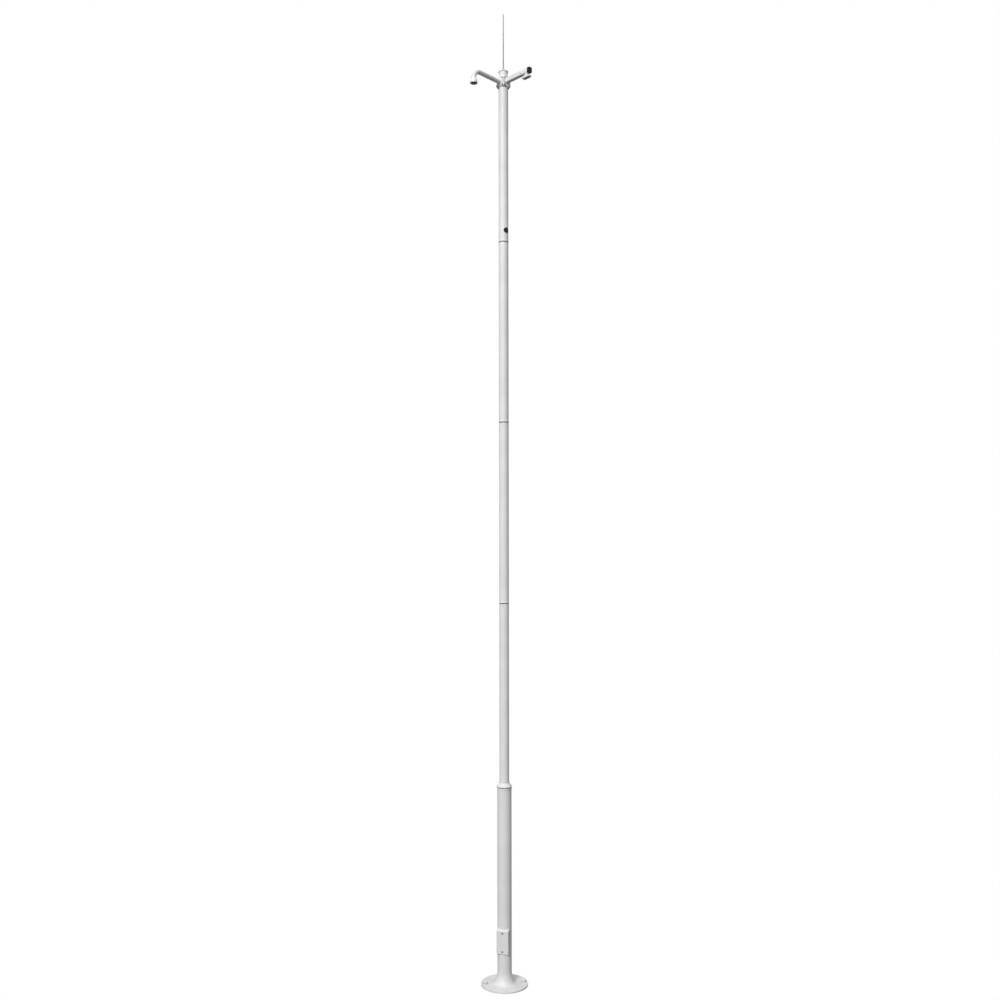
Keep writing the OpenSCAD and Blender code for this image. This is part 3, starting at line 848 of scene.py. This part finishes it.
@dataclass
class UpperPole:
    """Painted shade: dark rings in the grooves and under the skirt; grub screws pin the sleeves.

    Attributes:
        screw: The screw.
        below: Distance of the screws below a joint's groove.
        count: Number of screws round the pole.
        sunk: How far the screws lie in the pole's surface.
        shade_ring_h: Height of a ring of painted shade.
        shade_ring_in: How far a shade ring's face lies behind the pole's surface.
        shade_ring_t: Thickness of a shade ring.
        edge: Bevel of a shade ring's edges.
        skirt_up: Height of the reducer's skirt above the lower pole's end.
    """

    screw: SocketScrew = SocketScrew(head=10 * MM, height=2.4 * MM, socket=5 * MM)
    below: float = 21 * MM
    count: int = 4
    sunk: float = 0.7 * MM
    shade_ring_h: float = 10 * MM
    shade_ring_in: float = 1 * MM
    shade_ring_t: float = 3 * MM
    edge: float = 1 * MM
    skirt_up: float = 12 * MM

    def build(self) -> None:
        """Adds the painted shade rings and the rings of screws, the first screw in line with the hand-hole."""
        cover = middle("handhole_cover")
        first = math.atan2(cover.y, cover.x)
        edge, height = self.edge, self.shade_ring_h
        screws, shade_rings = Shape(), Shape()
        for section in ("pole_section_1", "pole_section_2", "pole_section_3"):
            low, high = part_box(section)
            radius = (high.x - low.x) / 2
            for i in range(self.count):
                out = heading(first + 2 * math.pi * i / self.count)
                spot = out * (radius - self.sunk) + UP * (high.z - self.below)
                self.screw.add_to(screws, place(spot, out))
            # A dark ring in each joint's groove paints the groove's shade.
            face = radius - self.shade_ring_in
            root = face - self.shade_ring_t
            shade_rings.revolve([(root, edge), (face - edge, edge), (face, 2 * edge),
                           (face, height - edge), (face - edge, height), (root, height)],
                          lifted(high.z), segments=96)
        # A dark ring under the reducer's skirt paints the skirt's shadow.
        low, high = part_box("lower_pole")
        face = (high.x - low.x) / 2 - self.shade_ring_in
        root = face - self.shade_ring_t
        shade_rings.revolve([(root, -height), (face - edge, -height), (face, edge - height),
                       (face, 0), (root, 0)], lifted(high.z + self.skirt_up), segments=128)
        screws.piece("joint_screws", BRIGHT_ZINC, Body.MAST, Slot.BOLT_STEEL)
        shade_rings.piece("joint_shade_rings", GROOVE_SHADE, Body.MAST, Slot.BLACK_RUBBER)


@dataclass
class CableOutlet:
    """Folds of the rubber grommet.

    Attributes:
        folds: Radii of the folds as shares of the grommet's radius.
        fold: Radius of a fold's section.
        nub: Radius of the nub in the middle.
        nub_out: How far the nub stands out.
    """

    folds: tuple[float, ...] = (0.86, 0.6, 0.34)
    fold: float = 1.1 * MM
    nub: float = 4 * MM
    nub_out: float = 2 * MM

    def build(self) -> None:
        """Adds the folds, which follow the pole's curve, and the nub."""
        out = outward("outlet_grommet")
        face = reach("outlet_grommet", out)[1]
        low, high = reach("outlet_grommet", UP)
        radius = (high - low) / 2
        where = place(out * face + UP * ((low + high) / 2), out)
        folds = Shape()
        for share in self.folds:
            path = [Vector((p.x, p.y, math.sqrt(face ** 2 - p.x ** 2) - face))
                    for p in ring_path(radius * share, steps=72)]
            folds.bead(path, self.fold, ripple=0.0, where=where)
        r, top = self.nub, self.nub_out
        folds.revolve([(r, -self.fold), (r * 0.85, 0.7 * top), (r * 0.5, top), (0, top)],
                      where, segments=24)
        folds.piece("grommet_folds", RUBBER, Body.MAST, Slot.BLACK_RUBBER)


@dataclass
class Head:
    """Bolts of the arm flanges and the welds round the head block.

    Attributes:
        bolt: Bolt of an arm flange.
        bolt_gap: Distances between the bolts, side by side and one above the other.
        bead: Radius of the weld beads.
        low_bolt: Bolt that hangs under the head block.
        low_bolt_out: Distance of that bolt from the mast's axis.
        rod_nut_share: Width of the rod's nut as a share of the socket's width.
        rod_nut_h: Height of the rod's nut.
        rod_nut_edge: Bevel of the rod's nut.
    """

    bolt: HexBolt = HexBolt()
    bolt_gap: tuple[float, float] = (82 * MM, 77 * MM)
    bead: float = 2.4 * MM
    low_bolt: HexBolt = HexBolt(across=19 * MM, head=10 * MM, washer=24 * MM, washer_t=2 * MM)
    low_bolt_out: float = 51 * MM
    rod_nut_share: float = 0.65
    rod_nut_h: float = 7 * MM
    rod_nut_edge: float = 1.5 * MM

    def build(self) -> None:
        """Adds the bolts of both flanges and under the block, and the block's and cap's welds."""
        for arm in ("dome_arm", "camera_arm"):
            self._bolts(arm)
        block_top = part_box("head_block")[1].z
        pole_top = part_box("pole_section_4")[1].z
        welds = Shape()
        for tube, height, steps in (("pole_section_4", pole_top, 160),
                                    ("cap_tube", block_top, 150)):
            radius = reach(tube, Vector((1, 0, 0)))[1]
            welds.bead(ring_path(radius, steps), self.bead, ripple=0.14, where=lifted(height))
        welds.piece("head_welds", WELD_PAINT, Body.MAST, Slot.MAST_PAINT)
        hanging = Shape()
        for side in (-1, 1):
            spot = Vector((side * self.low_bolt_out, 0, pole_top))
            self.low_bolt.add_to(hanging, place(spot, -UP, Vector((0, 1, 0))))
        hanging.piece("low_bolts", DARK_STEEL, Body.MAST, Slot.BOLT_STEEL)
        nut = Shape()
        low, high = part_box("rod_socket")
        across = (high.x - low.x) * self.rod_nut_share
        nut.prism(polygon_outline(across), self.rod_nut_h, self.rod_nut_edge, lifted(high.z))
        nut.piece("rod_nut", ZINC, Body.MAST, Slot.BOLT_STEEL)

    def _bolts(self, arm: str) -> None:
        """Adds the four bolts of one flange.

        Args:
            arm: First part of the names of the arm's nodes.
        """
        flange = f"{arm}_flange"
        out = outward(flange)
        face = reach(flange, out)[1]
        where = place(out * face + UP * middle(flange).z, out)
        bolts = Shape()
        for x in (-0.5, 0.5):
            for y in (-0.5, 0.5):
                spot = Matrix.Translation((x * self.bolt_gap[0], y * self.bolt_gap[1], 0))
                self.bolt.add_to(bolts, where @ spot)
        bolts.piece(f"{arm}_bolts", BOLT_STEEL, Body.MAST, Slot.BOLT_STEEL)


@dataclass
class DomeArm:
    """Weld of the gooseneck and small parts of the bell.

    Attributes:
        bead: Radius of the weld bead.
        latch: Latch screw on the bell's rim.
        latch_up: Height of the latch screw above the bell's rim.
        latch_sunk: How far the latch screw lies in the bell's side.
        neck_screw: Screw that grips the pipe in the bell's neck.
        neck_screws: Number of those screws.
        neck_first: Heading of the first of them, in degrees.
        neck_t: Wall of the bell's neck.
        neck_in: Distance of those screws below the neck's top.
    """

    bead: float = 2.6 * MM
    latch: SocketScrew = SocketScrew(head=11 * MM, height=6 * MM, socket=5 * MM)
    latch_up: float = 7 * MM
    latch_sunk: float = 0.5 * MM
    neck_screw: SocketScrew = SocketScrew(head=7 * MM, height=2.4 * MM, socket=3.4 * MM)
    neck_screws: int = 3
    neck_first: float = 150.0
    neck_t: float = 3.3 * MM
    neck_in: float = 6 * MM

    def build(self) -> None:
        """Adds the weld, the latch screw and the neck screws."""
        centre = middle("dome_bell")
        axis = Vector((centre.x, centre.y, 0))
        out = axis.normalized()
        side = out.cross(UP)
        face = reach("dome_arm_flange", out)[1]
        pipe_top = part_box("gooseneck_arm")[1].z
        low, high = reach("gooseneck_arm", side)
        pipe_r = (high - low) / 2
        weld = Shape()
        weld.bead(ring_path(pipe_r, steps=96), self.bead, ripple=0.15,
                  where=place(out * face + UP * (pipe_top - pipe_r), out))
        weld.piece("gooseneck_weld", WELD_PAINT, Body.MAST, Slot.MAST_PAINT)
        rim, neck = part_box("dome_bell")
        near, far = reach("dome_bell", side)
        left = Vector((-1, 0, 0))
        screws = Shape()
        spot = axis + left * ((far - near) / 2 - self.latch_sunk) + UP * (rim.z + self.latch_up)
        self.latch.add_to(screws, place(spot, left))
        for i in range(self.neck_screws):
            toward = heading(math.radians(self.neck_first + 360 / self.neck_screws * i))
            spot = axis + toward * (pipe_r + self.neck_t) + UP * (neck.z - self.neck_in)
            self.neck_screw.add_to(screws, place(spot, toward))
        screws.piece("bell_screws", BOLT_STEEL, Body.MAST, Slot.BOLT_STEEL)


@dataclass
class TiltFrame:
    """The camera arm's own directions and the tilt axis.

    Attributes:
        out: Level direction along the arm.
        side: Level direction across the arm.
        pivot: Point on the tilt axis in the middle of the arm.
    """

    out: Vector
    side: Vector
    pivot: Vector

    @classmethod
    def from_joint(cls) -> "TiltFrame":
        """Reads the frame from the tilt joint.

        Returns:
            The frame of the camera arm.
        """
        joint = frame["joints"][0]
        pivot = Vector(joint["pos_m"])
        out = Vector((pivot.x, pivot.y, 0)).normalized()
        return cls(out, Vector(joint["axis"]).normalized(), pivot)

    def at(self, along: float, across: float, up: float) -> Vector:
        """Point at distances from the mast's axis, the arm's middle and the ground."""
        return self.out * along + self.side * across + UP * up

    def flanks(self, node: str) -> list[tuple[Vector, float]]:
        """Directions across the arm, each with the distance to that side of a node."""
        return [(toward, reach(node, toward)[1]) for toward in (-self.side, self.side)]


@dataclass
class CameraArm:
    """Weld and tilt bolt of the camera arm.

    Attributes:
        tilt: Frame of the arm.
        bead: Radius of the weld bead.
        screw: Screw in both ends of the tilt bolt.
    """

    tilt: TiltFrame
    bead: float = 2.2 * MM
    screw: SocketScrew = SocketScrew(head=12 * MM, height=2.4 * MM, socket=6 * MM)

    def build(self) -> None:
        """Adds the weld round the arm's root and the screws of the tilt bolt."""
        face = reach("camera_arm_flange", self.tilt.out)[1]
        low, high = reach("camera_arm", self.tilt.side)
        bottom, top = reach("camera_arm", UP)
        weld = Shape()
        weld.bead(box_path(high - low, top - bottom, step=4 * MM), self.bead, ripple=0.15,
                  where=place(self.tilt.at(face, 0, (bottom + top) / 2), self.tilt.out))
        weld.piece("camera_arm_weld", WELD_PAINT, Body.MAST, Slot.MAST_PAINT)
        screws = Shape()
        for toward, end in self.tilt.flanks("tilt_bolt"):
            spot = self.tilt.pivot - toward * self.tilt.pivot.dot(toward) + toward * end
            self.screw.add_to(screws, place(spot, toward))
        screws.piece("tilt_screws", BRIGHT_STEEL, Body.MAST, Slot.BOLT_STEEL)


@dataclass
class TiltingCamera:
    """Lens, lamps and screws of the camera.

    Attributes:
        tilt: Frame of the arm.
        lens_r: Radius of the lens.
        lens_up: Height of the lens above the glass's middle.
        bulge: How far the lens bulges out.
        ring_w: Width of the ring round the lens.
        ring_out: How far the ring stands out.
        leds: Number of small infrared lamps, side by side.
        led_r: Radius of an infrared lamp.
        led_out: How far an infrared lamp stands out.
        led_pitch: Distance between neighbouring infrared lamps.
        led_down: Distance of the infrared lamps below the glass's middle.
        screw: Screw of the front frame.
        screw_in: Distance of a screw from the frame's top or bottom.
    """

    tilt: TiltFrame
    lens_r: float = 11 * MM
    lens_up: float = 4 * MM
    bulge: float = 1.8 * MM
    ring_w: float = 2.6 * MM
    ring_out: float = 2.4 * MM
    leds: int = 4
    led_r: float = 2 * MM
    led_out: float = 1.5 * MM
    led_pitch: float = 6 * MM
    led_down: float = 15 * MM
    screw: SocketScrew = SocketScrew(head=5 * MM, height=1.2 * MM, socket=2.4 * MM)
    screw_in: float = 9 * MM

    def build(self) -> None:
        """Adds the lens with its ring, the infrared lamps and the frame's screws."""
        front = reach("camera_glass", self.tilt.out)[1]
        middle_up = middle("camera_glass").z
        where = place(self.tilt.at(front, 0, middle_up + self.lens_up), self.tilt.out)
        ring = Shape()
        r, outer, top, sunk = self.lens_r, self.lens_r + self.ring_w, self.ring_out, 0.2 * MM
        ring.revolve([(outer, -sunk), (outer, top / 2), (outer - 1 * MM, top),
                      (r + 0.4 * MM, top), (r, top / 2), (r, -sunk)], where, segments=48)
        ring.piece("lens_ring", BLACK_PLASTIC, Body.CAMERA, Slot.BLACK_PLASTIC)
        lens = Shape()
        steps = 8
        turns = [math.pi / 2 * i / steps for i in range(steps)]
        lens.revolve([(r * math.cos(turn), self.bulge * math.sin(turn)) for turn in turns]
                     + [(0, self.bulge)], where, segments=48)
        lens.piece("lens", LENS_COATING, Body.CAMERA, Slot.FRONT_GLASS)
        lamps = Shape()
        for i in range(self.leds):
            across = (i - (self.leds - 1) / 2) * self.led_pitch
            spot = place(self.tilt.at(front, across, middle_up - self.led_down), self.tilt.out)
            lamps.revolve([(self.led_r, -sunk / 2), (self.led_r, self.led_out / 3),
                           (self.led_r * 0.6, self.led_out * 0.8), (0, self.led_out)],
                          spot, segments=20)
        lamps.piece("infrared_lamps", DARK_GLASS, Body.CAMERA, Slot.FRONT_GLASS)
        self._frame_screws()

    def _frame_screws(self) -> None:
        """Adds the screws on both sides of the front frame."""
        back, front = reach("camera_front_frame", self.tilt.out)
        bottom, top = reach("camera_front_frame", UP)
        screws = Shape()
        for toward, face in self.tilt.flanks("camera_front_frame"):
            for height in (bottom + self.screw_in, top - self.screw_in):
                spot = self.tilt.out * ((back + front) / 2) + toward * face + UP * height
                self.screw.add_to(screws, place(spot, toward))
        screws.piece("front_frame_screws", CAMERA_PAINT, Body.CAMERA, Slot.CAMERA_METAL)


@dataclass
class Lamp:
    """Lenses of the lamp under the camera and the screws of its bracket.

    Attributes:
        tilt: Frame of the arm.
        rows: Number of lenses across the lamp.
        pitch: Distance between neighbouring lenses.
        lens_r: Radius of a lens.
        screw: Screw of the bracket.
        screw_at: Places of a side's screws as shares of the bracket's length.
    """

    tilt: TiltFrame
    rows: int = 3
    pitch: float = 12 * MM
    lens_r: float = 4.4 * MM
    screw: SocketScrew = SocketScrew(head=6 * MM, height=1.8 * MM, socket=3 * MM)
    screw_at: tuple[float, float] = (0.28, 0.72)

    def build(self) -> None:
        """Adds the grid of lenses and the bracket's screws."""
        back, front = reach("lamp_window", self.tilt.out)
        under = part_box("lamp_window")[0].z
        columns = int((front - back) / self.pitch)
        start = (back + front) / 2 - (columns - 1) * self.pitch / 2
        lenses = Shape()
        for column in range(columns):
            for row in range(self.rows):
                across = (row - (self.rows - 1) / 2) * self.pitch
                spot = self.tilt.at(start + column * self.pitch, across, under)
                lenses.revolve([(self.lens_r, 0), (self.lens_r * 0.8, 0.4 * MM),
                                (self.lens_r * 0.4, 0.65 * MM), (0, 0.7 * MM)],
                               place(spot, -UP, self.tilt.out), segments=20)
        lenses.piece("lamp_lenses", LAMP_LENS, Body.CAMERA, Slot.LAMP_PANEL)
        bottom, top = reach("lamp_bracket", UP)
        rear, fore = reach("lamp_bracket", self.tilt.out)
        screws = Shape()
        for toward, face in self.tilt.flanks("lamp_bracket"):
            for share in self.screw_at:
                spot = self.tilt.out * (rear + (fore - rear) * share) + toward * face
                self.screw.add_to(screws, place(spot + UP * ((bottom + top) / 2), toward))
        screws.piece("bracket_screws", CAMERA_PAINT, Body.CAMERA, Slot.CAMERA_METAL)


# --- Studio ---


@dataclass
class Studio:
    """Pale floor, soft light and the camera.

    Attributes:
        distance: Level distance from the mast to the camera.
        height: Height of the camera.
        aside: How far the camera stands to the left of the mast's front.
        look_up: Tilt of the camera above the horizon, in degrees.
        lens: Focal length on a 36 mm frame.
        shift: Upward shift of the view.
        roll: Turn of the view about its own axis, in degrees.
        floor_r: Radius of the floor.
        key_spot: Place of the key light.
        key_aim: Height on the mast that the key light faces.
        key_side: Length of the key light's side.
        key_power: Power of the key light in watts.
        sky: Strength of the soft light from below, from the sides and from straight above.
        sides: Shares of that light that come from the left and from the right.
        bounce: Paleness of the floor near the mast and far from it, as it throws light back.
        bounce_fade: Distances from the mast between which that paleness changes.
        floor_fade: Distances from the mast between which the floor fades out.
    """

    distance: float = 11.25
    height: float = 4.55
    aside: float = 0.045
    look_up: float = 0.8
    lens: float = 36.3
    shift: float = 0.06
    roll: float = 0.08
    floor_r: float = 14.0
    key_spot: Point = (-16.0, -35.0, 28.0)
    key_aim: float = 5.0
    key_side: float = 12.0
    key_power: float = 15500.0
    sky: Point = (0.17, 0.32, 1.1)
    sides: tuple[float, float] = (1.16, 1.12)
    bounce: tuple[float, float] = (0.95, 0.22)
    bounce_fade: tuple[float, float] = (1.5, 4.0)
    floor_fade: tuple[float, float] = (0.6, 5.0)

    def build(self) -> None:
        """Sets up the floor, the lights, the world and the camera."""
        self._floor()
        self._world()
        self._key()
        self._camera()
        bpy.context.scene.view_settings.view_transform = "Standard"

    def _floor(self) -> None:
        """Adds a white floor that keeps the mast's shadow and fades out into the background."""
        floor = Shape()
        floor.revolve([(0, 0), (self.floor_r, 0)], lifted(-0.5 * MM), segments=96)
        mesh = bpy.data.meshes.new("floor")
        mesh.from_pydata(floor.vertices, [], floor.faces)
        made = bpy.data.objects.new("floor", mesh)
        bpy.context.scene.collection.objects.link(made)
        paper = bpy.data.materials.new("floor_white")
        paper.use_nodes = True
        paper.node_tree.nodes.clear()
        graph = Graph(paper.node_tree)
        output = graph.node("OutputMaterial")
        seen = graph.node("BsdfDiffuse")
        seen.inputs["Color"].default_value = (0.95, 0.95, 0.95, 1)
        bounce = graph.node("BsdfDiffuse")
        glow = graph.node("Emission")
        length = graph.node("VectorMath")
        length.operation = "LENGTH"
        graph.link(graph.coordinates(), length.inputs[0])
        fade = graph.ramp(length.outputs["Value"], *self.floor_fade, first=0.55, last=1.0)
        graph.link(graph.ramp(length.outputs["Value"], *self.bounce_fade, *self.bounce),
                   bounce.inputs["Color"])
        shown = graph.mix(fade, seen.outputs[0], glow.outputs[0])
        both = graph.mix(graph.direct_rays(), bounce.outputs[0], shown)
        backfacing = graph.node("NewGeometry").outputs["Backfacing"]
        clear = graph.node("BsdfTransparent")
        graph.link(graph.mix(backfacing, both, clear.outputs[0]), output.inputs["Surface"])
        mesh.materials.append(paper)

    def _world(self) -> None:
        """Sets a white background and a soft grey light that is strongest from above."""
        world = bpy.data.worlds.new("studio")
        bpy.context.scene.world = world
        world.use_nodes = True
        world.node_tree.nodes.clear()
        graph = Graph(world.node_tree)
        output = graph.node("OutputWorld")
        direction = graph.node("TexCoord").outputs["Generated"]
        up = graph.axis(direction, Axis.Z)
        below, beside, above = self.sky
        level = graph.ramp(up, low=-0.45, high=0.3, first=below, last=beside)
        zenith = graph.ramp(up, low=0.5, high=1.0, first=0.0, last=above - beside)
        left, right = self.sides
        side = graph.ramp(graph.axis(direction, Axis.X), low=-0.9, high=0.9, first=left, last=right)
        level = graph.math(Operation.MULTIPLY, graph.math(Operation.ADD, level, zenith), side)
        light = graph.node("Background")
        graph.link(level, light.inputs["Strength"])
        white = graph.node("Background")
        white.inputs["Color"].default_value = (1, 1, 1, 1)
        both = graph.mix(graph.direct_rays(), light.outputs[0], white.outputs[0])
        graph.link(both, output.inputs["Surface"])

    def _key(self) -> None:
        """Adds the key light, high up at the front left."""
        data = bpy.data.lights.new("key", "AREA")
        data.size = self.key_side
        data.energy = self.key_power
        made = bpy.data.objects.new("key", data)
        origin = Vector(self.key_spot)
        made.matrix_world = place(origin, origin - UP * self.key_aim)
        bpy.context.scene.collection.objects.link(made)

    def _camera(self) -> None:
        """Adds the camera in front of the mast."""
        data = bpy.data.cameras.new("view")
        data.lens = self.lens
        data.sensor_width = 36.0
        data.shift_y = self.shift
        data.clip_end = 200.0
        made = bpy.data.objects.new("view", data)
        made.location = (-self.aside, -self.distance, self.height)
        made.rotation_euler = (math.radians(90 + self.look_up), math.radians(self.roll), 0)
        bpy.context.scene.collection.objects.link(made)
        bpy.context.scene.camera = made


def main() -> None:
    """Builds every sub-assembly, then the studio."""
    logging.basicConfig(level=logging.INFO, format="%(name)s %(message)s")
    tilt = TiltFrame.from_joint()
    builders: list[Callable[[], None]] = [
        SteelWork().dress,
        Foot().build,
        HandHole().build,
        UpperPole().build,
        CableOutlet().build,
        Head().build,
        DomeArm().build,
        CameraArm(tilt).build,
        TiltingCamera(tilt).build,
        Lamp(tilt).build,
        Studio().build,
    ]
    for build in builders:
        build()


if __name__ == "__main__":
    main()
